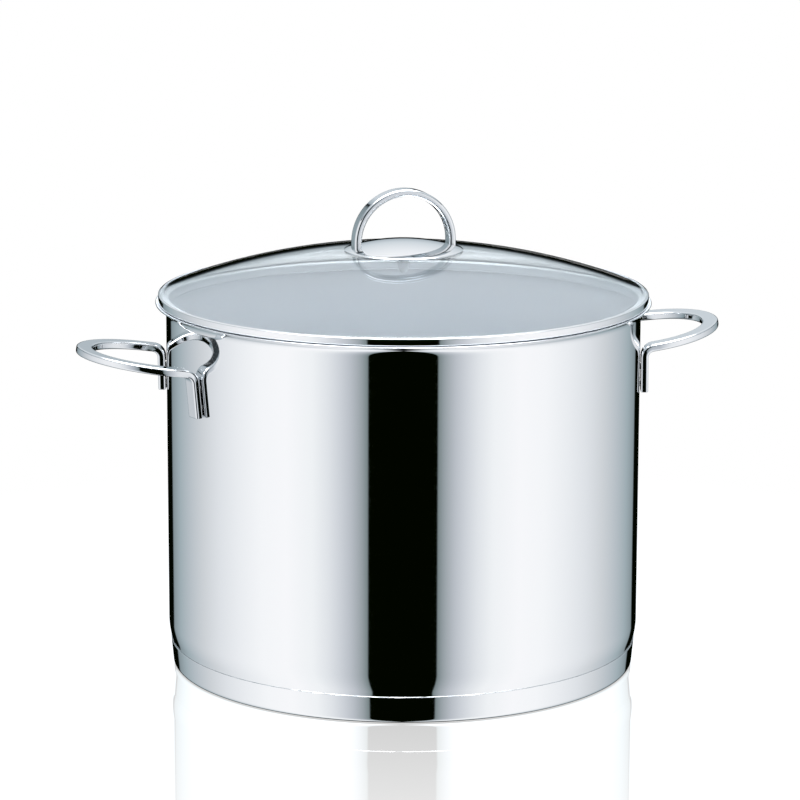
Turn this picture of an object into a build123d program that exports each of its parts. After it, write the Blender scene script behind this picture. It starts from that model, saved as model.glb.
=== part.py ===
from build123d import *
import math
import os

# Stainless preserving pot for water bath canning: a deep-drawn shell with a flared pouring
# rim and an encapsulated base, two flat-bar loop handles, a domed glass lid with a steel
# band and a bow knob, and the wire rack that holds the jars off the base.
# Millimetres, +Z up, origin at the centre of the base where it rests, handles along X.

os.makedirs("parts", exist_ok=True)

# Shell
inner_dia = 360.0            # clear bore
pot_height = 283.0           # table to the top of the rim
sheet = 0.8                  # shell sheet
flare_reach = 8.2            # rim edge beyond the wall
flare_radius = 7.0           # bend under the rim
lip_slope = 10.0             # degrees above level, from the bend to the rim edge
rim_edge = 0.3               # rounding of the rim's cut edge
corner_radius = 14.0         # floor to side
shoulder_radius = 55.0       # side to wall, above the seam
shell_taper = 12.0           # degrees the side leans in below the shoulder

# Base
seam_height = 20.3           # top edge of the base cap
seam_inset = 1.5             # the cap's top edge sits this far inside the wall
cap_sheet = 0.6
cap_taper = 5.3              # degrees the cap's side leans in towards the table
cap_edge = 3.5               # rounding of the cap's bottom edge
cap_clearance = 0.05         # between cap and shell at the seam
core_thick = 6.2             # aluminium disc between shell and cap
core_edge = 1.0
core_clearance = 0.5         # between the disc and the start of the shell's corner

# Handles: flat bar, with legs turned down flat against the wall
bar_width = 12.5
bar_thick = 5.8
bar_edge = 1.8               # rounding of the bar's long edges
handle_reach = 72.5          # tip beyond the wall
loop_half_width = 51.5       # centre line of the bar to the handle's middle, at the widest
loop_widest = 13.0           # the widest place, beyond the wall
loop_end_angle = 96.0        # degrees of each half-loop before its straight run to the bend
loop_rise = 8.5              # degrees the loop climbs away from the pot
loop_drop = 34.5             # bar's top face at the wall below the rim
bend_radius = 4.5            # inside of the bend from loop to leg
leg_spread = 5.0             # middle of each leg outside the loop's widest half-width
leg_drop = 70.5              # foot of the legs below the rim
leg_gap = 0.8                # leg to wall, filled at the welds
leg_end_edge = 0.8
bend_steps = 6               # spans between the sections through the bend
weld_dia = 7.0
weld_rows = (7.0, 20.0)      # above the foot of the leg
weld_clearance = 0.02

# Lid
rim_clearance = 0.4          # band above the rim
band_inset = 2.2             # band's side inside the rim's edge
band_sheet = 0.6
band_bend = 0.8              # outside rounding of the band's bends
band_flange = 1.9            # band's top flange over the glass
skirt_clearance = 1.6        # skirt inside the bore
skirt_depth = 7.0
glass_thick = 4.0
dome_rise = 34.3             # glass apex above its edge
glass_edge = 1.2             # ground rounding of the glass edge
seal_gap = 0.5               # sealant between glass edge and band
seal_bed = 0.2               # sealant under the glass edge
fit_clearance = 0.03         # sealant to its neighbours

# Knob
glass_hole = 12.0
knob_dia = 90.5
knob_crown = 7.0             # cap centre above its rim
knob_sheet = 0.8
knob_rim_clearance = 0.15    # cap rim above the glass
knob_rim_edge = 0.25
bow_inset = 5.25             # bow's sides inside the cap's rim
bow_rise = 39.5              # top of the bow above the crown of the cap
bow_bar_width = 13.0
bow_bar_thick = 5.5
bow_edge = 2.0
stud_dia = 5.0
stud_grip = 2.4              # stud's end below the hexagon of the nut
stud_chamfer = 0.4
sleeve_clearance = 0.1       # sleeve in the glass hole
stud_clearance = 0.1         # stud in sleeve, gasket and washers
gasket_dia = 18.0
gasket_thick = 4.0
washer_dia = 16.0
washer_thick = 1.5
spring_dia = 9.2
spring_thick = 1.3
spring_slot = 1.0
soft_edge = 0.6
hard_edge = 0.2
nut_flats = 8.0
nut_hex_height = 4.5
nut_height = 10.0
nut_dome_dia = 7.5
nut_dome_share = 0.95        # of the dome's radius rounded over at its end
ring_gasket_width = 2.5
ring_gasket_inset = 2.0      # cap rim to the gasket's outside

# Jar rack
wire = 5.0
spoke_wire = 4.0
rack_inset = 6.0             # outer ring's middle inside the edge of the flat floor
rack_lift = 14.0             # underside of the rings above the floor
middle_ring_share = 0.66     # of the outer ring's radius
inner_ring_share = 0.32
spoke_count = 12
foot_count = 4
foot_width = 36.0
foot_bend = 5.0
spoke_overhang = 3.0         # spokes beyond the inner and outer rings' middles
weld_sink = 0.4              # how far welded wires sink into each other
floor_clearance = 0.3        # feet above the floor

# Derived
bore = inner_dia / 2
wall = bore + sheet
floor_under = cap_sheet + core_thick
floor_top = floor_under + sheet
rim_radius = wall + flare_reach
cap_seam_radius = wall - seam_inset
shell_seam_radius = cap_seam_radius - cap_sheet - cap_clearance


def sloped(rise, degrees):
    """Sideways run of a line that climbs by rise and leans by so many degrees."""
    return rise * math.tan(math.radians(degrees))


# Pot shell: one drawn sheet, revolved from its outside line.
side_foot = shell_seam_radius - sloped(seam_height - floor_under, shell_taper)
shoulder_height = seam_height + (wall - shell_seam_radius) / math.tan(math.radians(shell_taper))
lip_under = pot_height - sheet * math.cos(math.radians(lip_slope))
flare_height = lip_under - sloped(flare_reach, lip_slope)

with BuildPart() as pot_shell:
    with BuildSketch(Plane.XZ):
        with BuildLine():
            FilletPolyline(
                (0, floor_under),
                (side_foot, floor_under),
                (wall, shoulder_height),
                (wall, flare_height),
                (rim_radius, lip_under),
                radius=[corner_radius, shoulder_radius, flare_radius],
            )
            offset(amount=sheet, side=Side.LEFT)
        make_face()
    revolve(axis=Axis.Z)
    fillet(pot_shell.edges().filter_by(GeomType.CIRCLE).sort_by(SortBy.RADIUS)[-2:], rim_edge)
pot_shell.part.label = "pot_shell"
export_step(pot_shell.part, "parts/pot_shell.step")

# Base cap: shallow steel cup pressed over the disc and the shell's foot.
cap_foot = cap_seam_radius - sloped(seam_height, cap_taper)

with BuildPart() as base_cap:
    with BuildSketch(Plane.XZ):
        with BuildLine():
            FilletPolyline((0, 0), (cap_foot, 0), (cap_seam_radius, seam_height), radius=cap_edge)
            offset(amount=cap_sheet, side=Side.LEFT)
        make_face()
    revolve(axis=Axis.Z)
base_cap.part.label = "base_cap"
export_step(base_cap.part, "parts/base_cap.step")

# Base core: aluminium disc under the flat of the floor.
corner_run = corner_radius * math.tan(math.radians((90 - shell_taper) / 2))

with BuildPart() as base_core:
    with BuildSketch(Plane.XY.offset(cap_sheet)):
        Circle(side_foot - corner_run - core_clearance)
    extrude(amount=core_thick)
    fillet(base_core.edges(), core_edge)
base_core.part.label = "base_core"
export_step(base_core.part, "parts/base_core.step")

# Right handle, one half mirrored. The loop is a half-ellipse in a rising plane; its bar runs
# straight into an oblique bend whose line is tangent to the wall, so the leg below lies
# flat against the wall and splays outwards.
rise = math.radians(loop_rise)
loop_out = Vector(math.cos(rise), 0, math.sin(rise))
loop_up = Vector(-math.sin(rise), 0, math.cos(rise))
loop_top = pot_height - loop_drop
leg_bottom = pot_height - leg_drop
loop_plane = Plane((wall, 0, loop_top - bar_thick / 2 / math.cos(rise)), x_dir=loop_out, z_dir=loop_up)
loop_centre = loop_widest / math.cos(rise)
loop_tip = (handle_reach - bar_width / 2) / math.cos(rise)
leg_middle = wall + leg_gap + bar_thick / 2
leg_angle = math.degrees(math.asin((loop_half_width + leg_spread) / leg_middle))
leg_out = Vector(1, 0, 0).rotate(Axis.Z, -leg_angle)

# The bend's axis lies bend_middle outside the leg's middle plane and below the loop's.
bend_middle = bend_radius + bar_thick / 2
bend_line = leg_out.cross(loop_up).normalized()
bend_angle = loop_up.get_angle(leg_out * -1)
bend_back = bend_line.cross(loop_up)
below_loop = Plane(loop_plane.origin - loop_up * bend_middle, z_dir=loop_up)
outside_leg = Plane(leg_out * (leg_middle + bend_middle), z_dir=leg_out)
bend_centre = below_loop.intersect(outside_leg).position
bend_start = Plane(bend_centre, z_dir=bend_back)

with BuildPart() as right_handle:
    with BuildLine(loop_plane) as loop_line:
        side = EllipticalCenterArc((loop_centre, 0), loop_tip - loop_centre, loop_half_width,
                                   start_angle=-loop_end_angle, arc_size=loop_end_angle)
        Line(side @ 0, side @ 0 - (side % 0) * 3 * bar_width)
    with BuildSketch(Plane(side @ 1, x_dir=loop_out, z_dir=side % 1)):
        RectangleRounded(bar_width, bar_thick, bar_edge)
    sweep(path=loop_line.wires()[0])
    split(bisect_by=bend_start, keep=Keep.BOTTOM)
    section = right_handle.faces().sort_by(lambda face: bend_start.to_local_coords(face.center()).Z)[-1]
    bar_back = (side % 0) * -1
    bar_skew = math.atan2(bar_back.dot(bend_line), bar_back.dot(bend_back))
    bend_shift = bend_middle * math.radians(bend_angle) * math.tan(bar_skew)
    bend_sections = [
        section.rotate(Axis(bend_centre, bend_line), bend_angle * step / bend_steps).translate(
            bend_line * bend_shift * step / bend_steps)
        for step in range(bend_steps + 1)
    ]
    loft(sections=bend_sections)
    leg_down = bar_back.rotate(Axis((0, 0, 0), bend_line), bend_angle)
    extrude(bend_sections[-1], amount=2 * (loop_top - leg_bottom), dir=leg_down)
    split(bisect_by=Plane.XY.offset(leg_bottom), keep=Keep.TOP)
    fillet(right_handle.faces().sort_by(Axis.Z)[0].edges(), leg_end_edge)
    mirror(about=Plane.XZ)
right_handle.part.label = "right_handle"
export_step(right_handle.part, "parts/right_handle.step")

# Left handle: the same forging, turned half a turn round the pot.
with BuildPart() as left_handle:
    add(right_handle.part, rotation=(0, 0, 180))
left_handle.part.label = "left_handle"
export_step(left_handle.part, "parts/left_handle.step")

# Weld nuggets between each leg and the wall.
leg_head = bend_sections[-1].center()

with BuildPart() as right_handle_welds:
    for row in weld_rows:
        down = (leg_bottom + row - leg_head.Z) / leg_down.Z
        leg_face = leg_head + leg_down * down - leg_out * (bar_thick / 2 + weld_clearance)
        with BuildSketch(Plane(leg_face, z_dir=leg_out * -1)):
            Circle(weld_dia / 2)
        extrude(amount=2 * leg_gap + 1.0)
    Cylinder(wall + weld_clearance, pot_height, align=(Align.CENTER, Align.CENTER, Align.MIN),
             mode=Mode.SUBTRACT)
    mirror(about=Plane.XZ)
right_handle_welds.part.label = "right_handle_welds"
export_step(right_handle_welds.part, "parts/right_handle_welds.step")

with BuildPart() as left_handle_welds:
    add(right_handle_welds.part, rotation=(0, 0, 180))
left_handle_welds.part.label = "left_handle_welds"
export_step(left_handle_welds.part, "parts/left_handle_welds.step")

# Lid glass: a dome of constant thickness with a ground edge.
band_radius = rim_radius - band_inset
band_under = pot_height + rim_clearance
glass_radius = band_radius - band_sheet - seal_gap
dome_radius = (glass_radius**2 + dome_rise**2) / (2 * dome_rise)
dome_lean = math.asin(glass_radius / dome_radius)
glass_foot = band_under + band_sheet + seal_bed
glass_shoulder = glass_foot + glass_thick / math.cos(dome_lean)
dome_centre = glass_shoulder + dome_rise - dome_radius


def dome_height(radius, depth=0.0):
    """Height of the glass at a radius, so far under its top face."""
    return dome_centre + math.sqrt((dome_radius - depth) ** 2 - radius**2)


with BuildPart() as lid_glass:
    with BuildSketch(Plane.XZ) as glass_section:
        with Locations((0, dome_centre)):
            Circle(dome_radius)
            Circle(dome_radius - glass_thick, mode=Mode.SUBTRACT)
        with Locations((glass_hole / 2, pot_height)):
            Rectangle(glass_radius - glass_hole / 2, 2 * dome_rise,
                      align=(Align.MIN, Align.MIN), mode=Mode.INTERSECT)
        fillet(glass_section.vertices().sort_by(Axis.X)[-2:], glass_edge)
    revolve(axis=Axis.Z)
lid_glass.part.label = "lid_glass"
export_step(lid_glass.part, "parts/lid_glass.step")

# Lid band: rolled strip that grips the glass edge, with a skirt that drops into the bore.
flange_end = band_radius - band_flange
flange_lean = math.asin(flange_end / dome_radius)
flange_top = dome_height(flange_end) + (band_sheet + fit_clearance) / math.cos(flange_lean)
band_corner = flange_top - band_flange * math.tan(dome_lean)
skirt_radius = bore - skirt_clearance

with BuildPart() as lid_band:
    with BuildSketch(Plane.XZ):
        with BuildLine():
            FilletPolyline(
                (flange_end, flange_top),
                (band_radius, band_corner),
                (band_radius, band_under),
                (skirt_radius, band_under),
                (skirt_radius, band_under - skirt_depth),
                radius=[band_bend, band_bend, band_bend],
            )
            offset(amount=band_sheet, side=Side.RIGHT)
        make_face()
    revolve(axis=Axis.Z)
lid_band.part.label = "lid_band"
export_step(lid_band.part, "parts/lid_band.step")

# Sealant: wedge-shaped bead between the band and the glass edge.
seal_outer = band_radius - band_sheet - fit_clearance
seal_under = band_under + band_sheet + fit_clearance
seal_inner = flange_end

with BuildPart() as lid_sealant:
    with BuildSketch(Plane.XZ):
        with BuildLine():
            Polyline(
                (seal_inner, seal_under),
                (seal_outer - seal_gap, seal_under),
                (seal_outer, seal_under + seal_gap),
                (seal_outer, glass_shoulder - glass_edge),
                (glass_radius + fit_clearance, glass_shoulder - glass_edge),
                (glass_radius + fit_clearance, glass_foot - fit_clearance),
                (seal_inner, dome_height(seal_inner, glass_thick) - fit_clearance),
                close=True,
            )
        make_face()
    revolve(axis=Axis.Z)
lid_sealant.part.label = "lid_sealant"
export_step(lid_sealant.part, "parts/lid_sealant.step")

# Knob cap: shallow pressed disc whose rim all but rests on the glass.
knob_radius = knob_dia / 2
crown_radius = (knob_radius**2 + knob_crown**2) / (2 * knob_crown)
cap_rim = dome_height(knob_radius) + knob_rim_clearance
crown_centre = cap_rim + knob_sheet + knob_crown - crown_radius


def crown_height(radius, depth=0.0):
    """Height of the knob cap at a radius, so far under its top face."""
    return crown_centre + math.sqrt((crown_radius - depth) ** 2 - radius**2)


with BuildPart() as knob_cap:
    with BuildSketch(Plane.XZ) as cap_section:
        with Locations((0, crown_centre)):
            Circle(crown_radius)
            Circle(crown_radius - knob_sheet, mode=Mode.SUBTRACT)
        with Locations((0, cap_rim - knob_sheet)):
            Rectangle(knob_radius, 2 * knob_crown, align=(Align.MIN, Align.MIN), mode=Mode.INTERSECT)
        fillet(cap_section.vertices().sort_by(Axis.X)[-2:], knob_rim_edge)
    revolve(axis=Axis.Z)
knob_cap.part.label = "knob_cap"
export_step(knob_cap.part, "parts/knob_cap.step")

# Knob bow: half ring of flat bar on short straight legs, its feet shaped to the cap.
bow_radius = knob_radius - bow_inset
bow_width = 2 * bow_radius
bow_centre = crown_height(0) + bow_rise - bow_radius

with BuildPart() as knob_bow:
    with BuildSketch(Plane.XZ):
        with Locations((0, bow_centre)):
            Circle(bow_radius)
        with Locations((0, cap_rim)):
            Rectangle(bow_width, bow_centre - cap_rim, align=(Align.CENTER, Align.MIN))
        with Locations((0, bow_centre)):
            Circle(bow_radius - bow_bar_thick, mode=Mode.SUBTRACT)
        with Locations((0, cap_rim)):
            Rectangle(bow_width - 2 * bow_bar_thick, bow_centre - cap_rim,
                      align=(Align.CENTER, Align.MIN), mode=Mode.SUBTRACT)
        with Locations((0, cap_rim)):
            Rectangle(2 * bow_width, 2 * bow_width, align=(Align.CENTER, Align.MIN), mode=Mode.INTERSECT)
    extrude(amount=bow_bar_width / 2, both=True)
    long_edges = knob_bow.faces().filter_by(Axis.Y).edges().filter_by(lambda edge: edge.center().Z > cap_rim)
    fillet(long_edges, bow_edge)
    with Locations((0, 0, crown_centre)):
        Sphere(crown_radius + fit_clearance, mode=Mode.SUBTRACT)
knob_bow.part.label = "knob_bow"
export_step(knob_bow.part, "parts/knob_bow.step")

# Knob stud: welded under the cap, it passes through the glass, a gasket and two washers to
# the cap nut.
gasket_top = dome_height(gasket_dia / 2, glass_thick) - fit_clearance
washer_top = gasket_top - gasket_thick
spring_top = washer_top - washer_thick
nut_top = spring_top - spring_thick
nut_hex_under = nut_top - nut_hex_height
stud_end = nut_hex_under - stud_grip

with BuildPart() as knob_stud:
    with BuildSketch(Plane.XY.offset(stud_end)):
        Circle(stud_dia / 2)
    extrude(amount=crown_height(0, knob_sheet) - stud_end)
    chamfer(knob_stud.edges().sort_by(Axis.Z)[0], stud_chamfer)
    with Locations((0, 0, crown_centre)):
        Sphere(crown_radius - knob_sheet - fit_clearance, mode=Mode.INTERSECT)
knob_stud.part.label = "knob_stud"
export_step(knob_stud.part, "parts/knob_stud.step")

# Ring gasket between the cap's rim and the glass.
ring_outer = knob_radius - ring_gasket_inset
ring_inner = ring_outer - ring_gasket_width

with BuildPart() as knob_ring_gasket:
    with BuildSketch(Plane.XZ):
        with BuildLine():
            Polyline(
                (ring_inner, dome_height(ring_inner) + fit_clearance),
                (ring_outer, dome_height(ring_outer) + fit_clearance),
                (ring_outer, crown_height(ring_outer, knob_sheet) - fit_clearance),
                (ring_inner, crown_height(ring_inner, knob_sheet) - fit_clearance),
                close=True,
            )
        make_face()
    revolve(axis=Axis.Z)
knob_ring_gasket.part.label = "knob_ring_gasket"
export_step(knob_ring_gasket.part, "parts/knob_ring_gasket.step")

# Sleeve: soft bush that keeps the stud off the glass.
stud_hole = stud_dia / 2 + stud_clearance

with BuildPart() as knob_sleeve:
    with BuildSketch(Plane.XY.offset(dome_height(0, glass_thick))):
        Circle(glass_hole / 2 - sleeve_clearance)
        Circle(stud_hole, mode=Mode.SUBTRACT)
    extrude(amount=glass_thick)
knob_sleeve.part.label = "knob_sleeve"
export_step(knob_sleeve.part, "parts/knob_sleeve.step")

# Lower gasket, washer and spring washer, stacked down the stud from under the glass.

with BuildPart() as knob_lower_gasket:
    with BuildSketch(Plane.XY.offset(washer_top)):
        Circle(gasket_dia / 2)
        Circle(stud_hole, mode=Mode.SUBTRACT)
    extrude(amount=gasket_thick)
    fillet(knob_lower_gasket.edges().filter_by(GeomType.CIRCLE).sort_by(SortBy.RADIUS)[-2:], soft_edge)
knob_lower_gasket.part.label = "knob_lower_gasket"
export_step(knob_lower_gasket.part, "parts/knob_lower_gasket.step")

with BuildPart() as knob_washer:
    with BuildSketch(Plane.XY.offset(spring_top)):
        Circle(washer_dia / 2)
        Circle(stud_hole, mode=Mode.SUBTRACT)
    extrude(amount=washer_thick)
    chamfer(knob_washer.edges().filter_by(GeomType.CIRCLE).sort_by(SortBy.RADIUS)[-2:], hard_edge)
knob_washer.part.label = "knob_washer"
export_step(knob_washer.part, "parts/knob_washer.step")

with BuildPart() as knob_spring_washer:
    with BuildSketch(Plane.XY.offset(nut_top)):
        Circle(spring_dia / 2)
        Circle(stud_hole, mode=Mode.SUBTRACT)
        with Locations((spring_dia / 2, 0)):
            Rectangle(spring_dia, spring_slot, mode=Mode.SUBTRACT)
    extrude(amount=spring_thick)
knob_spring_washer.part.label = "knob_spring_washer"
export_step(knob_spring_washer.part, "parts/knob_spring_washer.step")

# Cap nut: hexagon with a domed end, bored for the stud.
nut_dome_radius = nut_dome_dia / 2

with BuildPart() as knob_cap_nut:
    with BuildSketch(Plane.XY.offset(nut_hex_under)):
        RegularPolygon(nut_flats / 2, 6, major_radius=False)
    extrude(amount=nut_hex_height)
    with BuildSketch(Plane.XZ):
        with Locations((0, nut_top - nut_height)):
            Rectangle(nut_dome_radius, nut_height - nut_hex_height, align=(Align.MIN, Align.MIN))
    revolve(axis=Axis.Z)
    fillet(knob_cap_nut.faces().sort_by(Axis.Z)[0].edges(), nut_dome_radius * nut_dome_share)
    with Locations((0, 0, stud_end - stud_clearance)):
        Cylinder(stud_hole, nut_height, align=(Align.CENTER, Align.CENTER, Align.MIN), mode=Mode.SUBTRACT)
knob_cap_nut.part.label = "knob_cap_nut"
export_step(knob_cap_nut.part, "parts/knob_cap_nut.step")

# Jar rack: three wire rings, spokes laid across them, and bent feet under the outer ring.
rack_radius = side_foot - corner_run - rack_inset
ring_height = floor_top + floor_clearance + rack_lift + wire / 2
middle_radius = rack_radius * middle_ring_share
inner_radius = rack_radius * inner_ring_share
spoke_height = ring_height + (wire + spoke_wire) / 2 - weld_sink

with BuildPart() as rack_outer_ring:
    with Locations((0, 0, ring_height)):
        Torus(rack_radius, wire / 2)
rack_outer_ring.part.label = "rack_outer_ring"
export_step(rack_outer_ring.part, "parts/rack_outer_ring.step")

with BuildPart() as rack_middle_ring:
    with Locations((0, 0, ring_height)):
        Torus(middle_radius, wire / 2)
rack_middle_ring.part.label = "rack_middle_ring"
export_step(rack_middle_ring.part, "parts/rack_middle_ring.step")

with BuildPart() as rack_inner_ring:
    with Locations((0, 0, ring_height)):
        Torus(inner_radius, wire / 2)
rack_inner_ring.part.label = "rack_inner_ring"
export_step(rack_inner_ring.part, "parts/rack_inner_ring.step")

with BuildPart() as rack_spokes:
    with BuildSketch(Plane.YZ.offset(inner_radius - spoke_overhang)):
        with Locations((0, spoke_height)):
            Circle(spoke_wire / 2)
    spoke = extrude(amount=rack_radius - inner_radius + 2 * spoke_overhang)
    with PolarLocations(0, spoke_count):
        add(spoke)
rack_spokes.part.label = "rack_spokes"
export_step(rack_spokes.part, "parts/rack_spokes.step")

# Feet: each a U of wire under the outer ring, standing on the pot's floor.
foot_top = ring_height - wire / 2 + weld_sink
foot_bottom = floor_top + floor_clearance + spoke_wire / 2

with BuildPart() as rack_feet:
    with BuildLine(Plane.YZ.offset(rack_radius)) as foot_line:
        FilletPolyline(
            (-foot_width / 2, foot_top),
            (-foot_width / 2, foot_bottom),
            (foot_width / 2, foot_bottom),
            (foot_width / 2, foot_top),
            radius=foot_bend,
        )
    with BuildSketch(Plane((rack_radius, -foot_width / 2, foot_top), z_dir=(0, 0, -1))):
        Circle(spoke_wire / 2)
    foot = sweep(path=foot_line.wires()[0], mode=Mode.PRIVATE)
    with PolarLocations(0, foot_count, start_angle=180 / foot_count):
        add(foot)
rack_feet.part.label = "rack_feet"
export_step(rack_feet.part, "parts/rack_feet.step")
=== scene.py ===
import math

import bmesh
import bpy
from mathutils import Matrix, Vector


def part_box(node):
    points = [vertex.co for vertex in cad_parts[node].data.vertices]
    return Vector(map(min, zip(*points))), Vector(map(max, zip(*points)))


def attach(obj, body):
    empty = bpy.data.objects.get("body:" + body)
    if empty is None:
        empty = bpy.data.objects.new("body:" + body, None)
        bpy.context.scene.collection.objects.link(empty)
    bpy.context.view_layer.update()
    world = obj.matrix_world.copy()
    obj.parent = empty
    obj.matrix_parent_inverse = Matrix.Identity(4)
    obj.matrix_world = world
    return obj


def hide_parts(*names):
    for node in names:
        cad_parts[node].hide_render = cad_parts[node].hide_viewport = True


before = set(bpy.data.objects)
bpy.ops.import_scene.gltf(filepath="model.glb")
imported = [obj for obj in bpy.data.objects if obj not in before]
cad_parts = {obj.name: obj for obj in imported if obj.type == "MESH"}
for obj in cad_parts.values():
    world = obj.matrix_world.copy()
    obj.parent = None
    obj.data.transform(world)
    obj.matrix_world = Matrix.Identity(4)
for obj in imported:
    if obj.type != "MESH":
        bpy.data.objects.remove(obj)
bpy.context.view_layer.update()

# Pot shell: one deep-drawn sheet of 18/10 stainless steel with a trumpet-flared pouring rim.
# The outside is buffed to a mirror. The inside keeps the satin of a fine circular brushing.
MM = 0.001
TURNED_STEPS = 384           # facets round a turned piece
ON_AXIS = 0.001              # mm from the axis within which a turned outline makes one vertex
END_LOOP = 0.6               # mm from an arc to the loop that keeps the flat beside it flat


def rounded(corners, radii, arc_steps=10):
    """Points along an outline in mm whose inner corners are arcs, each with its direction."""
    path = []
    ends = [Vector(corner) for corner in corners]
    start = ends[0]
    for corner, after, radius in zip(ends[1:-1], ends[2:], radii):
        before_way = (corner - start).normalized()
        after_way = (after - corner).normalized()
        turn = before_way.angle_signed(after_way)
        run = radius * math.tan(abs(turn) / 2)
        arc_start = corner - before_way * run
        side = -1 if turn > 0 else 1
        centre = arc_start + Vector((-before_way.y, before_way.x)) * radius * side
        path += [(start, before_way), (start + before_way * END_LOOP, before_way)]
        path += [(arc_start - before_way * END_LOOP, before_way)]
        for step in range(arc_steps + 1):
            spin = Matrix.Rotation(-turn * step / arc_steps, 2)
            path.append((centre + spin @ (arc_start - centre), spin @ before_way))
        start = corner + after_way * run
    last_way = (ends[-1] - start).normalized()
    path += [(start + last_way * END_LOOP, last_way), (ends[-1] - last_way * END_LOOP, last_way)]
    return path + [(ends[-1], last_way)]


def sheet_outline(path, thickness, side, edge_steps=6):
    """Closed outline of a sheet whose one face follows the path, with a rounded far edge."""
    out = [(point, 0) for point, way in path]
    back = [(point + Vector((-way.y, way.x)) * thickness * side, 1) for point, way in path]
    centre = (out[-1][0] + back[-1][0]) / 2 - path[-1][1] * thickness / 2
    arm = out[-1][0] - path[-1][1] * thickness / 2 - centre
    edge = [(centre + Matrix.Rotation(side * math.pi * step / edge_steps, 2) @ arm, 0)
            for step in range(edge_steps + 1)]
    return out[:-1] + edge + back[-2::-1]


def solid_piece(name, vertices, faces, kinds, sharp):
    """Mesh object with its normals outwards, smooth but for edges sharper than so many degrees."""
    mesh = bpy.data.meshes.new(name)
    mesh.from_pydata(vertices, [], faces)
    mesh.polygons.foreach_set("material_index", kinds)
    solid = bmesh.new()
    solid.from_mesh(mesh)
    bmesh.ops.recalc_face_normals(solid, faces=solid.faces)
    solid.to_mesh(mesh)
    solid.free()
    mesh.shade_smooth()
    mesh.set_sharp_from_angle(angle=math.radians(sharp))
    piece = bpy.data.objects.new(name, mesh)
    bpy.context.scene.collection.objects.link(piece)
    return piece


def turned(name, outline, sharp=30.0):
    """Piece made by turning a closed outline of ((radius, height) in mm, face kind) about Z."""
    vertices, rings = [], []
    for (radius, height), kind in outline:
        count = TURNED_STEPS if radius > ON_AXIS else 1
        rings.append((len(vertices), count, kind))
        vertices += [(radius * MM * math.cos(math.tau * k / TURNED_STEPS),
                      radius * MM * math.sin(math.tau * k / TURNED_STEPS), height * MM)
                     for k in range(count)]
    faces, kinds = [], []
    for (low, low_count, kind), (high, high_count, _) in zip(rings, rings[1:] + rings[:1]):
        if low_count == high_count == 1:
            continue
        for k in range(TURNED_STEPS):
            after = (k + 1) % TURNED_STEPS
            corners = [low + k % low_count, low + after % low_count,
                       high + after % high_count, high + k % high_count]
            faces.append(list(dict.fromkeys(corners)))
            kinds.append(kind)
    return solid_piece(name, vertices, faces, kinds, sharp)


def linear(code):
    """Linear colour, opaque, of an sRGB hex code."""
    parts = [int(code[k:k + 2], 16) / 255 for k in (0, 2, 4)]
    return tuple(c / 12.92 if c <= 0.04045 else ((c + 0.055) / 1.055) ** 2.4
                 for c in parts) + (1.0,)


def add(tree, kind, inputs=(), **settings):
    """Adds one shader node, sets its properties, and sets or links its inputs."""
    made = tree.nodes.new("ShaderNode" + kind)
    for name, value in settings.items():
        setattr(made, name, value)
    for name, value in dict(inputs).items():
        if isinstance(value, bpy.types.NodeSocket):
            tree.links.new(value, made.inputs[name])
        else:
            made.inputs[name].default_value = value
    return made


def new_material(name):
    """An empty node material and its tree."""
    made = bpy.data.materials.new(name)
    made.use_nodes = True
    made.node_tree.nodes.clear()
    return made, made.node_tree


def dress(piece, body, slot, materials, *nodes):
    """Gives a piece its finishes, and the CAD nodes and body if it stands for nodes. The slot is
    not used.
    """
    if piece.data.materials:     # clearing an empty list too would reset the faces' finishes
        piece.data.materials.clear()
    for material in materials:
        piece.data.materials.append(material)
    if nodes:
        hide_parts(*nodes)
        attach(piece, body)


MARKS_RADIUS = 180           # mm from the axis, where the marks round it have their given length


def round_marks(tree, pitch, length):
    """Noise in fine lines round the axis, so wide and, near the wall, so long in mm."""
    place = add(tree, "TexCoord")
    parts = add(tree, "SeparateXYZ", {0: place.outputs["Object"]})
    angle = add(tree, "Math", {0: parts.outputs["Y"], 1: parts.outputs["X"]}, operation="ARCTAN2")
    flat = add(tree, "CombineXYZ", {0: parts.outputs["X"], 1: parts.outputs["Y"]})
    radius = add(tree, "VectorMath", {0: flat.outputs[0]}, operation="LENGTH")
    around = add(tree, "Math", {0: angle.outputs[0], 1: MARKS_RADIUS / length},
                 operation="MULTIPLY")
    out = add(tree, "Math", {0: radius.outputs["Value"], 1: 1 / (pitch * MM)}, operation="MULTIPLY")
    up = add(tree, "Math", {0: parts.outputs["Z"], 1: 1 / (pitch * MM)}, operation="MULTIPLY")
    lines = add(tree, "CombineXYZ", {0: around.outputs[0], 1: out.outputs[0], 2: up.outputs[0]})
    noise = add(tree, "TexNoise", {"Vector": lines.outputs[0], "Scale": 1.0, "Detail": 2.0})
    return noise.outputs["Fac"]


# Mirror-buffed 18/10 stainless: crisp reflections, barely softened by buffing lines round the pot.
# The real lines are about 0.05 mm apart; they are drawn 1.5 mm apart so that they show.
mirror_steel, tree = new_material("mirror_buffed_stainless")
marks = round_marks(tree, 1.5, 60)
gloss = add(tree, "MapRange", {"Value": marks, "From Min": 0.3, "From Max": 0.7,
                               "To Min": 0.02, "To Max": 0.045})
grain = add(tree, "Bump", {"Height": marks, "Strength": 0.02, "Distance": 0.0002})
steel = add(tree, "BsdfPrincipled", {"Base Color": linear("F3F4F5"), "Metallic": 1.0,
                                     "Roughness": gloss.outputs[0], "Normal": grain.outputs[0]})
add(tree, "OutputMaterial", {"Surface": steel.outputs[0]})

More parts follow.
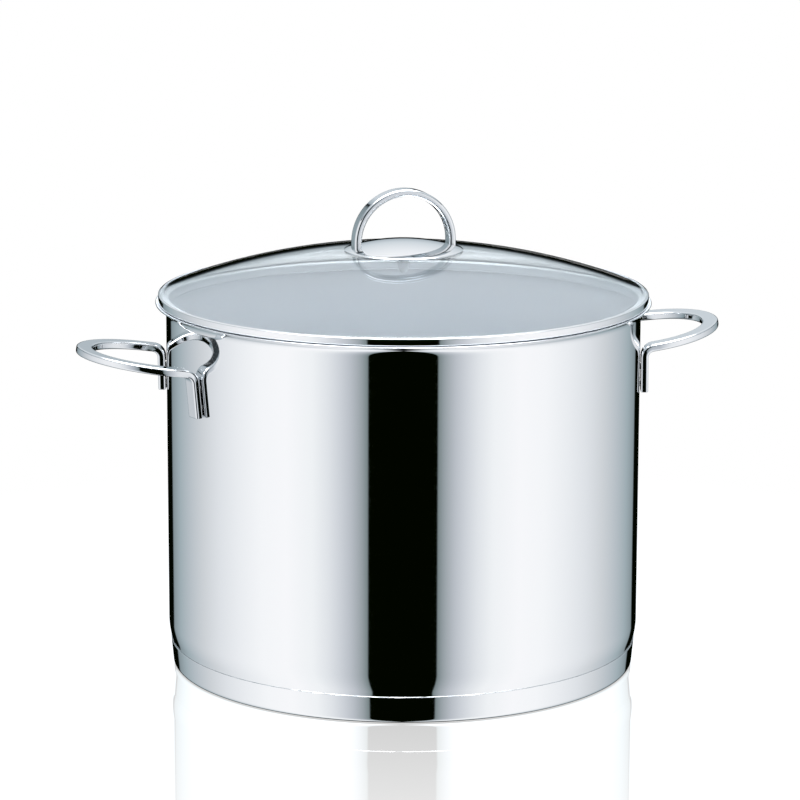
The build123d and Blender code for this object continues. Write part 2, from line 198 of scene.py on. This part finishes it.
# Satin-brushed 18/10 stainless: a soft cool white sheen with the brushing's fine rings. Much of
# the light scatters in the brushed grooves, so the surface is light even where it mirrors nothing.
# Real rings are a tenth of a mm apart; they are drawn 1 mm apart so that they show.
satin_steel, tree = new_material("satin_brushed_stainless")
marks = round_marks(tree, 1.0, 30)
gloss = add(tree, "MapRange", {"Value": marks, "From Min": 0.3, "From Max": 0.7,
                               "To Min": 0.34, "To Max": 0.48})
grain = add(tree, "Bump", {"Height": marks, "Strength": 0.1, "Distance": 0.0002})
steel = add(tree, "BsdfPrincipled", {"Base Color": linear("E4E9EE"), "Metallic": 0.3,
                                     "Roughness": gloss.outputs[0], "Normal": grain.outputs[0]})
add(tree, "OutputMaterial", {"Surface": steel.outputs[0]})

shell_low, shell_high = (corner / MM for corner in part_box("pot_shell"))
sheet = 0.8
lip_slope = math.radians(10)
cap_seam, _, seam_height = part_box("base_cap")[1] / MM
seam_inset = 1.5             # the cap's top edge inside the wall
wall = cap_seam + seam_inset
rim_reach = shell_high.x - wall
shell_taper = math.radians(12)
seam_gap = 2.15              # shell inside the wall at the seam
foot_bend = 14               # outside rounding from the floor to the tapered foot
shoulder_bend = 55           # from the foot to the wall
rim_bend = 7                 # from the wall to the pouring rim
lip_under = shell_high.z - sheet * math.cos(lip_slope)
shell_foot = wall - seam_gap - (seam_height - shell_low.z) * math.tan(shell_taper)
shell_path = rounded(
    [(0, shell_low.z), (shell_foot, shell_low.z),
     (wall, seam_height + seam_gap / math.tan(shell_taper)),
     (wall, lip_under - rim_reach * math.tan(lip_slope)), (shell_high.x, lip_under)],
    [foot_bend, shoulder_bend, rim_bend])
pot_shell = turned("pot_shell_drawn", sheet_outline(shell_path, sheet, 1))
dress(pot_shell, "pot", "mirror_steel", [mirror_steel, satin_steel], "pot_shell")

# Base cap: a shallow cup of stainless sheet pressed over the aluminium disc, its side buffed
# like the wall and its flat underside spun in fine rings.
cap_sheet = 0.6
cap_taper = math.radians(5.3)
cap_edge = 3.5               # outside rounding of the cup
cap_flat = 0.01              # height below which the outside is the spun underside
cap_foot = cap_seam - seam_height * math.tan(cap_taper)
cap_path = rounded([(0, 0), (cap_foot, 0), (cap_seam, seam_height)], [cap_edge])

# Spun stainless: turning rings that catch the light as a fan, a little duller than the buffed
# wall. They are drawn 2 mm apart, wider than real turning leaves them, so that they show.
spun_steel, tree = new_material("spun_stainless")
marks = round_marks(tree, 2.0, 400)
gloss = add(tree, "MapRange", {"Value": marks, "From Min": 0.3, "From Max": 0.7,
                               "To Min": 0.18, "To Max": 0.3})
grain = add(tree, "Bump", {"Height": marks, "Strength": 0.35, "Distance": 0.0003})
steel = add(tree, "BsdfPrincipled", {"Base Color": linear("DDDFE1"), "Metallic": 1.0,
                                     "Roughness": gloss.outputs[0], "Normal": grain.outputs[0]})
add(tree, "OutputMaterial", {"Surface": steel.outputs[0]})

cap_outline = [(point, 1 if point.y < cap_flat and kind == 0 else kind)
               for point, kind in sheet_outline(cap_path, cap_sheet, 1)]
base_cap = turned("base_cap_pressed", cap_outline)
dress(base_cap, "pot", "mirror_steel", [mirror_steel, spun_steel], "base_cap")

# Base core: a disc of aluminium that spreads the heat, pressed on below the pot's floor and
# sealed in by the base cap, so that nothing of it shows.

# Rolled aluminium: a light grey, duller than the steel, with faint marks. They are drawn 1 mm
# wide, coarser than real ones, so that they would show.
rolled_aluminium, tree = new_material("rolled_aluminium")
marks = round_marks(tree, 1.0, 200)
gloss = add(tree, "MapRange", {"Value": marks, "To Min": 0.3, "To Max": 0.5})
metal = add(tree, "BsdfPrincipled", {"Base Color": linear("D5D6D8"), "Metallic": 1.0,
                                     "Roughness": gloss.outputs[0]})
add(tree, "OutputMaterial", {"Surface": metal.outputs[0]})
dress(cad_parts["base_core"], "pot", "core_aluminium", [rolled_aluminium])

# Handles: flat stainless bar, forged round into a loop that rises away from the pot, bent down
# flat on the wall and polished bright. Each leg is welded on.
bar_width = 12.5
bar_thick = 5.8
bar_edge = 1.8               # rounding of the bar's long edges
handle_reach = 72.5          # tip beyond the wall
loop_half_width = 51.5       # middle of the bar to the handle's middle, at the widest
loop_widest = 13.0           # the widest place, beyond the wall
loop_end_angle = math.radians(96)
loop_rise = math.radians(8.5)
loop_drop = 34.5             # bar's top face at the wall below the rim
bend_radius = 4.5            # inside of the bend from loop to leg
leg_spread = 5.0             # middle of each leg outside the loop's widest half-width
leg_gap = 0.8                # leg to wall
leg_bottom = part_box("right_handle")[0].z / MM
leg_end_edge = 0.8           # rounding of the leg's lower end
LOOP_STEPS = 96
BEND_STEPS = 16
EDGE_STEPS = 4


def bar_section(width, thick, edge, arc_steps=6):
    """Section of a flat bar with rounded edges: places (across its width, through it)."""
    section = []
    for turn, side_x, side_y in ((0, 1, 1), (90, -1, 1), (180, -1, -1), (270, 1, -1)):
        arc = [Vector((edge, -END_LOOP))]
        arc += [Vector((edge * math.cos(a), edge * math.sin(a)))
                for a in (math.pi / 2 * step / arc_steps for step in range(arc_steps + 1))]
        arc += [Vector((-END_LOOP, edge))]
        centre = Vector((side_x * (width / 2 - edge), side_y * (thick / 2 - edge)))
        section += [centre + Matrix.Rotation(math.radians(turn), 2) @ point for point in arc]
    return section


def swept(name, rings, sharp=30.0):
    """Piece through rings of points in mm, closed by a face at each end."""
    count = len(rings[0])
    vertices = [point * MM for ring in rings for point in ring]
    faces = [(row * count + k, row * count + (k + 1) % count, (row + 1) * count + (k + 1) % count,
              (row + 1) * count + k) for row in range(len(rings) - 1) for k in range(count)]
    faces += [list(range(count)), list(range(len(vertices) - count, len(vertices)))]
    return solid_piece(name, vertices, faces, [0] * len(faces), sharp)


# The loop is a half ellipse in its rising plane. The bend's line is tangent to the wall.
loop_out = Vector((math.cos(loop_rise), 0, math.sin(loop_rise)))
loop_up = Vector((-math.sin(loop_rise), 0, math.cos(loop_rise)))
loop_start = Vector((wall, 0, shell_high.z - loop_drop - bar_thick / 2 / math.cos(loop_rise)))
loop_centre = loop_widest / math.cos(loop_rise)
loop_length = (handle_reach - bar_width / 2) / math.cos(loop_rise) - loop_centre


def loop_frame(angle):
    """Middle of the bar, its way and its outer side at an angle of the loop's ellipse."""
    middle = loop_start + loop_out * (loop_centre + loop_length * math.cos(angle))
    middle += Vector((0, loop_half_width * math.sin(angle), 0))
    way = loop_out * (-loop_length * math.sin(angle))
    way += Vector((0, loop_half_width * math.cos(angle), 0))
    return middle, way.normalized(), way.cross(loop_up).normalized()


leg_middle = wall + leg_gap + bar_thick / 2
leg_angle = math.asin((loop_half_width + leg_spread) / leg_middle)
leg_out = Vector((math.cos(leg_angle), -math.sin(leg_angle), 0))
bend_middle = bend_radius + bar_thick / 2
bend_line = leg_out.cross(loop_up).normalized()
bend_angle = loop_up.angle(-leg_out)
bend_back = bend_line.cross(loop_up)
bend_reach = Vector((loop_start.dot(loop_up) - bend_middle, leg_middle + bend_middle, 0))
bend_centre = Matrix((loop_up, leg_out, bend_line)).inverted() @ bend_reach
loop_end, end_way, end_side = loop_frame(-loop_end_angle)
bar_back = -end_way
bend_shift = bend_middle * bend_angle * bar_back.dot(bend_line) / bar_back.dot(bend_back)
leg_down = Matrix.Rotation(bend_angle, 3, bend_line) @ bar_back


def bend_ring(section, share, height=None):
    """Ring of the bar part way through its bend, or below it where the leg comes to a height."""
    ring = []
    bent = Matrix.Rotation(bend_angle * share, 3, bend_line)
    for across, through in section:
        point = loop_end + end_side * across + loop_up * through
        point += bar_back * ((bend_centre - point).dot(bend_back) / bar_back.dot(bend_back))
        point = bend_centre + bent @ (point - bend_centre)
        point += bend_line * bend_shift * share
        if height is not None:
            point += leg_down * ((height - point.z) / leg_down.z)
        ring.append(point)
    return ring


bar = bar_section(bar_width, bar_thick, bar_edge)
half = []
for step in range(LOOP_STEPS + 1):
    middle, way, outer = loop_frame(-loop_end_angle * step / LOOP_STEPS)
    half.append([middle + outer * across + loop_up * through for across, through in bar])
half += [bend_ring(bar, step / BEND_STEPS) for step in range(BEND_STEPS + 1)]
half.append(bend_ring(bar, 1, leg_bottom + leg_end_edge + END_LOOP))
for step in range(EDGE_STEPS + 1):
    a = math.pi / 2 * step / EDGE_STEPS
    inset = leg_end_edge * (1 - math.cos(a))
    foot = bar_section(bar_width - 2 * inset, bar_thick - 2 * inset, bar_edge - inset)
    half.append(bend_ring(foot, 1, leg_bottom + leg_end_edge * (1 - math.sin(a))))
rings = half[::-1] + [[Vector((point.x, -point.y, point.z)) for point in ring] for ring in half[1:]]

# Polished stainless bar: a mirror with the slight waves and hairlines that hand polishing leaves.
bright_bar, tree = new_material("polished_stainless_bar")
place = add(tree, "TexCoord")
waves = add(tree, "TexNoise", {"Vector": place.outputs["Object"], "Scale": 90.0, "Detail": 1.0})
hairs = add(tree, "TexNoise", {"Vector": place.outputs["Object"], "Scale": 900.0, "Detail": 2.0})
gloss = add(tree, "MapRange", {"Value": hairs.outputs["Fac"], "From Min": 0.3, "From Max": 0.7,
                               "To Min": 0.03, "To Max": 0.07})
swell = add(tree, "Bump", {"Height": waves.outputs["Fac"], "Strength": 0.05, "Distance": 0.0005})
steel = add(tree, "BsdfPrincipled", {"Base Color": linear("E9EBED"), "Metallic": 1.0,
                                     "Roughness": gloss.outputs[0], "Normal": swell.outputs[0]})
add(tree, "OutputMaterial", {"Surface": steel.outputs[0]})
for side, turn in (("right", 1), ("left", -1)):
    placed = [[Vector((point.x * turn, point.y * turn, point.z)) for point in ring]
              for ring in rings]
    handle = swept(side + "_handle_bar", placed)
    dress(handle, "pot", "handle_steel", [bright_bar], side + "_handle")

# Handle welds: four small resistance-weld nuggets to each handle, between its legs and the wall,
# left as they cooled.

# Weld steel: duller than the bar and mottled, with a faint straw tint from the heat.
weld_steel, tree = new_material("weld_steel")
place = add(tree, "TexCoord")
mottle = add(tree, "TexNoise", {"Vector": place.outputs["Object"], "Scale": 700.0, "Detail": 3.0})
tint = add(tree, "ValToRGB", {"Fac": mottle.outputs["Fac"]})
tint.color_ramp.elements[0].color = linear("9A938A")
tint.color_ramp.elements[1].color = linear("C4C3C1")
rough = add(tree, "Bump", {"Height": mottle.outputs["Fac"], "Strength": 0.4, "Distance": 0.0004})
steel = add(tree, "BsdfPrincipled", {"Base Color": tint.outputs[0], "Metallic": 1.0,
                                     "Roughness": 0.32, "Normal": rough.outputs[0]})
add(tree, "OutputMaterial", {"Surface": steel.outputs[0]})
for side in ("right", "left"):
    dress(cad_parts[side + "_handle_welds"], "pot", "weld_steel", [weld_steel])

# Lid glass: a dome of tempered soda-lime glass, 4 mm thick, bent hot, ground at the edge and
# bored in the middle for the knob's stud. The steel band holds it by the edge.
lid_glass_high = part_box("lid_glass")[1] / MM
glass_thick = 4.0
glass_radius = lid_glass_high.x
dome_rise = 34.3
dome_radius = (glass_radius**2 + dome_rise**2) / (2 * dome_rise)
dome_centre = lid_glass_high.z - dome_radius
hole_radius = 6.0
DOME_STEPS = 48


def dome_point(radius, sphere, centre):
    """Point of a dome's outline at a radius from the axis."""
    return Vector((radius, centre + math.sqrt(sphere**2 - radius**2)))


def shares(start, end, steps):
    """Evenly spaced values from start to end, both included."""
    return [start + (end - start) * step / steps for step in range(steps + 1)]


edge_round = 1.2             # rounding of the ground edge
edge_start = 0.2             # radians of the rounding left out beside each face of the dome
GROUND_STEPS = 5
glass_top = [dome_point(r, dome_radius, dome_centre)
             for r in shares(hole_radius, glass_radius - edge_round, DOME_STEPS)]
glass_back = [dome_point(r, dome_radius - glass_thick, dome_centre)
              for r in shares(glass_radius - edge_round, hole_radius, DOME_STEPS)]
edge_top, edge_back = glass_top[-1], glass_back[0]
edge_turn = [Vector((edge_top.x + edge_round * math.sin(a),
                     edge_top.y - edge_round * (1 - math.cos(a))))
             for a in shares(edge_start, math.pi / 2, GROUND_STEPS)]
edge_return = [Vector((edge_back.x + edge_round * math.cos(a),
                       edge_back.y + edge_round * (1 - math.sin(a))))
               for a in shares(0, math.pi / 2 - edge_start, GROUND_STEPS)]
glass_outline = [(p, 0) for p in glass_top + edge_turn + edge_return + glass_back]
lid_glass = turned("lid_glass_dome", glass_outline, sharp=40)

# Tempered soda-lime glass: clear, with a breath of blue-green, so smooth that it mirrors the
# room. Its faces have very shallow waves, some 70 mm apart.
clear_glass, tree = new_material("tempered_soda_lime_glass")
place = add(tree, "TexCoord")
roll = add(tree, "TexNoise", {"Vector": place.outputs["Object"], "Scale": 14.0, "Detail": 0.0})
swell = add(tree, "Bump", {"Height": roll.outputs["Fac"], "Strength": 0.04, "Distance": 0.001})
glass = add(tree, "BsdfPrincipled", {"Base Color": linear("FBFDFD"), "Roughness": 0.0, "IOR": 1.52,
                                     "Transmission Weight": 1.0, "Normal": swell.outputs[0]})
add(tree, "OutputMaterial", {"Surface": glass.outputs[0]})
dress(lid_glass, "lid", "tempered_glass", [clear_glass], "lid_glass")

# Lid band: a strip of stainless rolled round the glass edge, with a skirt that drops into the
# bore. It is buffed outside like the wall and left satin on the side towards the glass.
band_low, band_high = (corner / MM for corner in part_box("lid_band"))
band_sheet = 0.6
band_radius = band_high.x
rim_gap = 0.4                # band above the pot's rim
skirt_gap = 1.6              # skirt inside the pot's bore
glass_gap = 0.03             # flange above the glass
band_under = shell_high.z + rim_gap
skirt_radius = wall - sheet - skirt_gap
band_flange = 1.9            # flange over the glass, from its end to the band's side
band_bend = 0.8              # outside rounding of the bends
flange_end = band_radius - band_flange
flange_drop = band_flange * math.tan(math.asin(glass_radius / dome_radius))
flange_lean = math.asin(flange_end / dome_radius)
flange_glass = dome_point(flange_end, dome_radius, dome_centre).y
flange_top = flange_glass + (band_sheet + glass_gap) / math.cos(flange_lean)
band_path = rounded(
    [(flange_end, flange_top), (band_radius, flange_top - flange_drop), (band_radius, band_under),
     (skirt_radius, band_under), (skirt_radius, band_low.z)],
    [band_bend, band_bend, band_bend], arc_steps=6)
lid_band = turned("lid_band_rolled", sheet_outline(band_path, band_sheet, -1))
dress(lid_band, "lid", "band_steel", [mirror_steel, satin_steel], "lid_band")

# Sealant and gaskets: a bead of silicone that beds the glass edge in the band, and the moulded
# ring, sleeve and washer that keep the knob's steel off the glass.

# Grey silicone: dark and matt, seen through the glass as a thin grey line beside the bright steel.
grey_silicone, tree = new_material("grey_silicone")
place = add(tree, "TexCoord")
pores = add(tree, "TexNoise", {"Vector": place.outputs["Object"], "Scale": 500.0, "Detail": 2.0})
gloss = add(tree, "MapRange", {"Value": pores.outputs["Fac"], "To Min": 0.4, "To Max": 0.6})
skin = add(tree, "Bump", {"Height": pores.outputs["Fac"], "Strength": 0.2, "Distance": 0.0002})
rubber = add(tree, "BsdfPrincipled", {"Base Color": linear("3C4042"), "Roughness": gloss.outputs[0],
                                      "IOR": 1.41, "Normal": skin.outputs[0]})
add(tree, "OutputMaterial", {"Surface": rubber.outputs[0]})
for name in ("lid_sealant", "knob_ring_gasket", "knob_sleeve", "knob_lower_gasket"):
    dress(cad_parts[name], "lid", "silicone", [grey_silicone])

# Knob cap: a shallow pressed disc of stainless, buffed like the wall. The bow is welded on it,
# and the stud below it goes through the hole in the glass.
knob_cap_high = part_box("knob_cap")[1] / MM
knob_radius = knob_cap_high.x
knob_sheet = 0.8
knob_crown = 7.0             # rise of the disc from its rim to its middle
crown_radius = (knob_radius**2 + knob_crown**2) / (2 * knob_crown)
crown_centre = knob_cap_high.z - crown_radius
rim_edge = 0.25              # bevel of the disc's rim
CROWN_STEPS = 24
crown_top = [dome_point(r, crown_radius, crown_centre)
             for r in shares(0, knob_radius - rim_edge, CROWN_STEPS)]
crown_under = [dome_point(r, crown_radius - knob_sheet, crown_centre)
               for r in shares(knob_radius - rim_edge, 0, CROWN_STEPS)]
crown_rim = [Vector((knob_radius, crown_top[-1].y - rim_edge)),
             Vector((knob_radius, crown_under[0].y + rim_edge))]
crown_outline = [(p, 0) for p in crown_top + crown_rim + crown_under]
knob_cap = turned("knob_cap_pressed", crown_outline, sharp=40)
dress(knob_cap, "lid", "knob_steel", [mirror_steel], "knob_cap")

# Knob bow: flat stainless bar bent to a half ring and polished bright, on short legs whose ends
# are shaped to the cap's crown and welded to it.
bow_bar_width = 13.0
bow_bar_thick = 5.5
bow_edge = 2.0               # rounding of the bar's long edges
bow_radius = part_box("knob_bow")[1].x / MM
bow_middle = bow_radius - bow_bar_thick / 2
bow_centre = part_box("knob_bow")[1].z / MM - bow_radius
BOW_STEPS = 96
bow_bar = bar_section(bow_bar_width, bow_bar_thick, bow_edge)


def bow_ring(angle, on_cap=False):
    """Ring of the bow at an angle of its arc, or of its leg where that meets the cap."""
    ring = []
    for across, through in bow_bar:
        reach = bow_middle + through
        point = Vector((reach * math.cos(angle), across, bow_centre + reach * math.sin(angle)))
        if on_cap:
            point.z = crown_centre + math.sqrt(crown_radius**2 - point.x**2 - point.y**2)
        ring.append(point)
    return ring


bow = [bow_ring(angle) for angle in shares(0, math.pi, BOW_STEPS)]
knob_bow = swept("knob_bow_bar", [bow_ring(0, True)] + bow + [bow_ring(math.pi, True)])
dress(knob_bow, "lid", "knob_steel", [bright_bar], "knob_bow")

# Fasteners: a turned stainless stud below the knob cap, with a flat washer, a spring washer and
# a cap nut that draw the knob down on the glass from inside the lid.
for name in ("knob_stud", "knob_washer", "knob_spring_washer", "knob_cap_nut"):
    dress(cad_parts[name], "lid", "fastener_steel", [satin_steel])

# Jar rack: drawn stainless wire, three rings below and twelve spokes across, spot-welded where
# they cross. It stands on four feet and keeps the jars off the pot's floor.

# Drawn stainless wire: bright but not quite a mirror, its gloss uneven from the drawing die.
wire_steel, tree = new_material("drawn_stainless_wire")
place = add(tree, "TexCoord")
draw = add(tree, "TexNoise", {"Vector": place.outputs["Object"], "Scale": 300.0, "Detail": 3.0})
gloss = add(tree, "MapRange", {"Value": draw.outputs["Fac"], "To Min": 0.15, "To Max": 0.35})
grain = add(tree, "Bump", {"Height": draw.outputs["Fac"], "Strength": 0.15, "Distance": 0.0002})
steel = add(tree, "BsdfPrincipled", {"Base Color": linear("DADCDE"), "Metallic": 1.0,
                                     "Roughness": gloss.outputs[0], "Normal": grain.outputs[0]})
add(tree, "OutputMaterial", {"Surface": steel.outputs[0]})
for name in ("rack_outer_ring", "rack_middle_ring", "rack_inner_ring", "rack_spokes", "rack_feet"):
    dress(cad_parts[name], "rack", "rack_wire", [wire_steel])

# Studio floor: glossy white acrylic that fades to white and gives the pot back faintly. It shows
# from above only, and the pot's own mirror doesn't see it.
floor_half = 6.0             # m, as are all sizes from here on
floor_drop = 0.0003          # floor below the pot's base, so that the two faces don't coincide
mesh = bpy.data.meshes.new("studio_floor")
mesh.from_pydata([(-floor_half, -floor_half, 0), (floor_half, -floor_half, 0),
                  (floor_half, floor_half, 0), (-floor_half, floor_half, 0)], [], [(0, 1, 2, 3)])
floor = bpy.data.objects.new("studio_floor", mesh)
floor.location.z = -floor_drop
bpy.context.scene.collection.objects.link(floor)
floor.visible_glossy = False

# White acrylic: lit white from below, with a gloss that mirrors the pot faintly close to its base
# and fades out away from it. The mirror is brighter than a real one, so that it shows on white.
mirror_start, mirror_end = 0.18, 0.65    # from the axis, where the mirror starts to fade and ends
mirror_share = 0.35
mirror_gain = 2.2
white_acrylic, tree = new_material("white_acrylic")
place = add(tree, "TexCoord")
far = add(tree, "VectorMath", {0: place.outputs["Object"]}, operation="LENGTH")
share = add(tree, "MapRange", {"Value": far.outputs["Value"], "From Min": mirror_start,
                               "From Max": mirror_end, "To Min": mirror_share, "To Max": 0.0})
white = add(tree, "Emission", {"Color": (1, 1, 1, 1), "Strength": 1.0})
mirror = add(tree, "BsdfAnisotropic", {"Color": (mirror_gain, mirror_gain, mirror_gain, 1),
                                       "Roughness": 0.02})
top = add(tree, "MixShader", {0: share.outputs[0], 1: white.outputs[0], 2: mirror.outputs[0]})
clear = add(tree, "BsdfTransparent")
under = add(tree, "NewGeometry")
both = add(tree, "MixShader", {0: under.outputs["Backfacing"], 1: top.outputs[0],
                               2: clear.outputs[0]})
add(tree, "OutputMaterial", {"Surface": both.outputs[0]})
floor.data.materials.append(white_acrylic)

# Studio light: a ring of panels round the pot, brightest to both sides of the camera, with a
# black flag round the camera itself, a dark space behind the pot and a soft ceiling.
CAMERA_AZIMUTH = math.radians(16.5)
# Degrees round the pot from the camera, to either side, and the panels' colour there.
PANEL_STOPS = [(0.0, "020500"), (16.3, "020500"), (16.9, "7B8789"), (20, "9CA4A9"),
               (25, "BBC0C7"), (30, "CFD3D9"), (36, "E2E5E9"), (44, "F2F4F6"), (58, "FAFAFC"),
               (72, "F7F8FA"), (86, "EDEFF2"), (100, "E0E3E7"), (113, "CFD3D7"),
               (127, "B8C0C6"), (140, "9FADB3"), (152, "828F94"), (154, "020500"),
               (180, "020500")]
world = bpy.data.worlds.new("studio_light")
bpy.context.scene.world = world
world.use_nodes = True
tree = world.node_tree
tree.nodes.clear()
place = add(tree, "TexCoord")
turn = add(tree, "VectorRotate", {"Vector": place.outputs["Generated"], "Angle": CAMERA_AZIMUTH},
           rotation_type="Z_AXIS")
parts = add(tree, "SeparateXYZ", {0: turn.outputs[0]})
ahead = add(tree, "Math", {0: parts.outputs["Y"], 1: -1.0}, operation="MULTIPLY")
side_angle = add(tree, "Math", {0: parts.outputs["X"], 1: ahead.outputs[0]}, operation="ARCTAN2")
side_turn = add(tree, "Math", {0: side_angle.outputs[0]}, operation="ABSOLUTE")
side_share = add(tree, "Math", {0: side_turn.outputs[0], 1: math.pi}, operation="DIVIDE")
panels = add(tree, "ValToRGB", {"Fac": side_share.outputs[0]})
ramp = panels.color_ramp
for angle, code in PANEL_STOPS[1:-1]:
    ramp.elements.new(angle / 180)
for stop, (angle, code) in zip(ramp.elements, PANEL_STOPS):
    stop.position = angle / 180
    stop.color = linear(code)
# The panels reach 25 degrees up all round, but for the dark space right behind the pot, where the
# ceiling comes down to just above the table. The ceiling starts dark and its middle is a large
# soft box. Heights are sines of the angle up, and places round the pot shares of a half turn.
front_top, back_top = 0.42, 0.02
drop_start, drop_end = 0.83, 0.9
top_blur = 0.01
box_edge, box_full = 0.8, 0.9
room_strength, box_strength = 1.08, 8.5
panel_top = add(tree, "MapRange", {"Value": side_share.outputs[0], "From Min": drop_start,
                                   "From Max": drop_end, "To Min": front_top,
                                   "To Max": back_top})
rise = add(tree, "Math", {0: parts.outputs["Z"], 1: panel_top.outputs[0]}, operation="SUBTRACT")
ceiling = add(tree, "ValToRGB", {"Fac": rise.outputs[0]})
CEILING_STOPS = [(0.0, "080808"), (0.03, "30383C"), (0.06, "A7B2B9"), (0.25, "CDD5DB"),
                 (0.6, "F2F4F7"), (1.0, "FFFFFF")]
for height, code in CEILING_STOPS[1:-1]:
    ceiling.color_ramp.elements.new(height)
for stop, (height, code) in zip(ceiling.color_ramp.elements, CEILING_STOPS):
    stop.position = height
    stop.color = linear(code)
above = add(tree, "MapRange", {"Value": rise.outputs[0], "From Min": -top_blur,
                               "From Max": top_blur})
room = add(tree, "Mix", {0: above.outputs[0], 6: panels.outputs[0], 7: ceiling.outputs[0]},
           data_type="RGBA")
soft_box = add(tree, "MapRange", {"Value": parts.outputs["Z"], "From Min": box_edge,
                                  "From Max": box_full, "To Min": room_strength,
                                  "To Max": box_strength})
light = add(tree, "Background", {"Color": room.outputs[2], "Strength": soft_box.outputs[0]})
backdrop = add(tree, "Background", {"Color": (1, 1, 1, 1), "Strength": 1.0})
ray = add(tree, "LightPath")
shown = add(tree, "MixShader", {0: ray.outputs["Is Camera Ray"], 1: light.outputs[0],
                                2: backdrop.outputs[0]})
add(tree, "OutputWorld", {"Surface": shown.outputs[0]})
bpy.context.scene.view_settings.view_transform = "Standard"

# Camera: a long lens almost three metres away, in front and a little to the left of the pot,
# looking down by twelve degrees. Its slight pan and roll are those of a tripod set by hand.
camera_distance = 2.8
camera_height = 0.8054
camera_pitch = math.radians(12.116)
camera_roll = 0.0026
camera_pan = math.radians(0.05)
camera_data = bpy.data.cameras.new("camera")
camera_data.lens = 168.0
camera_data.clip_end = 100
camera = bpy.data.objects.new("camera", camera_data)
bpy.context.scene.collection.objects.link(camera)
camera_place = (-math.sin(CAMERA_AZIMUTH) * camera_distance,
                -math.cos(CAMERA_AZIMUTH) * camera_distance, camera_height)
camera.matrix_world = (
    Matrix.Translation(camera_place)
    @ Matrix.Rotation(-CAMERA_AZIMUTH + camera_pan, 4, "Z")
    @ Matrix.Rotation(math.pi / 2 - camera_pitch, 4, "X")
    @ Matrix.Rotation(camera_roll, 4, "Z"))
bpy.context.scene.camera = camera
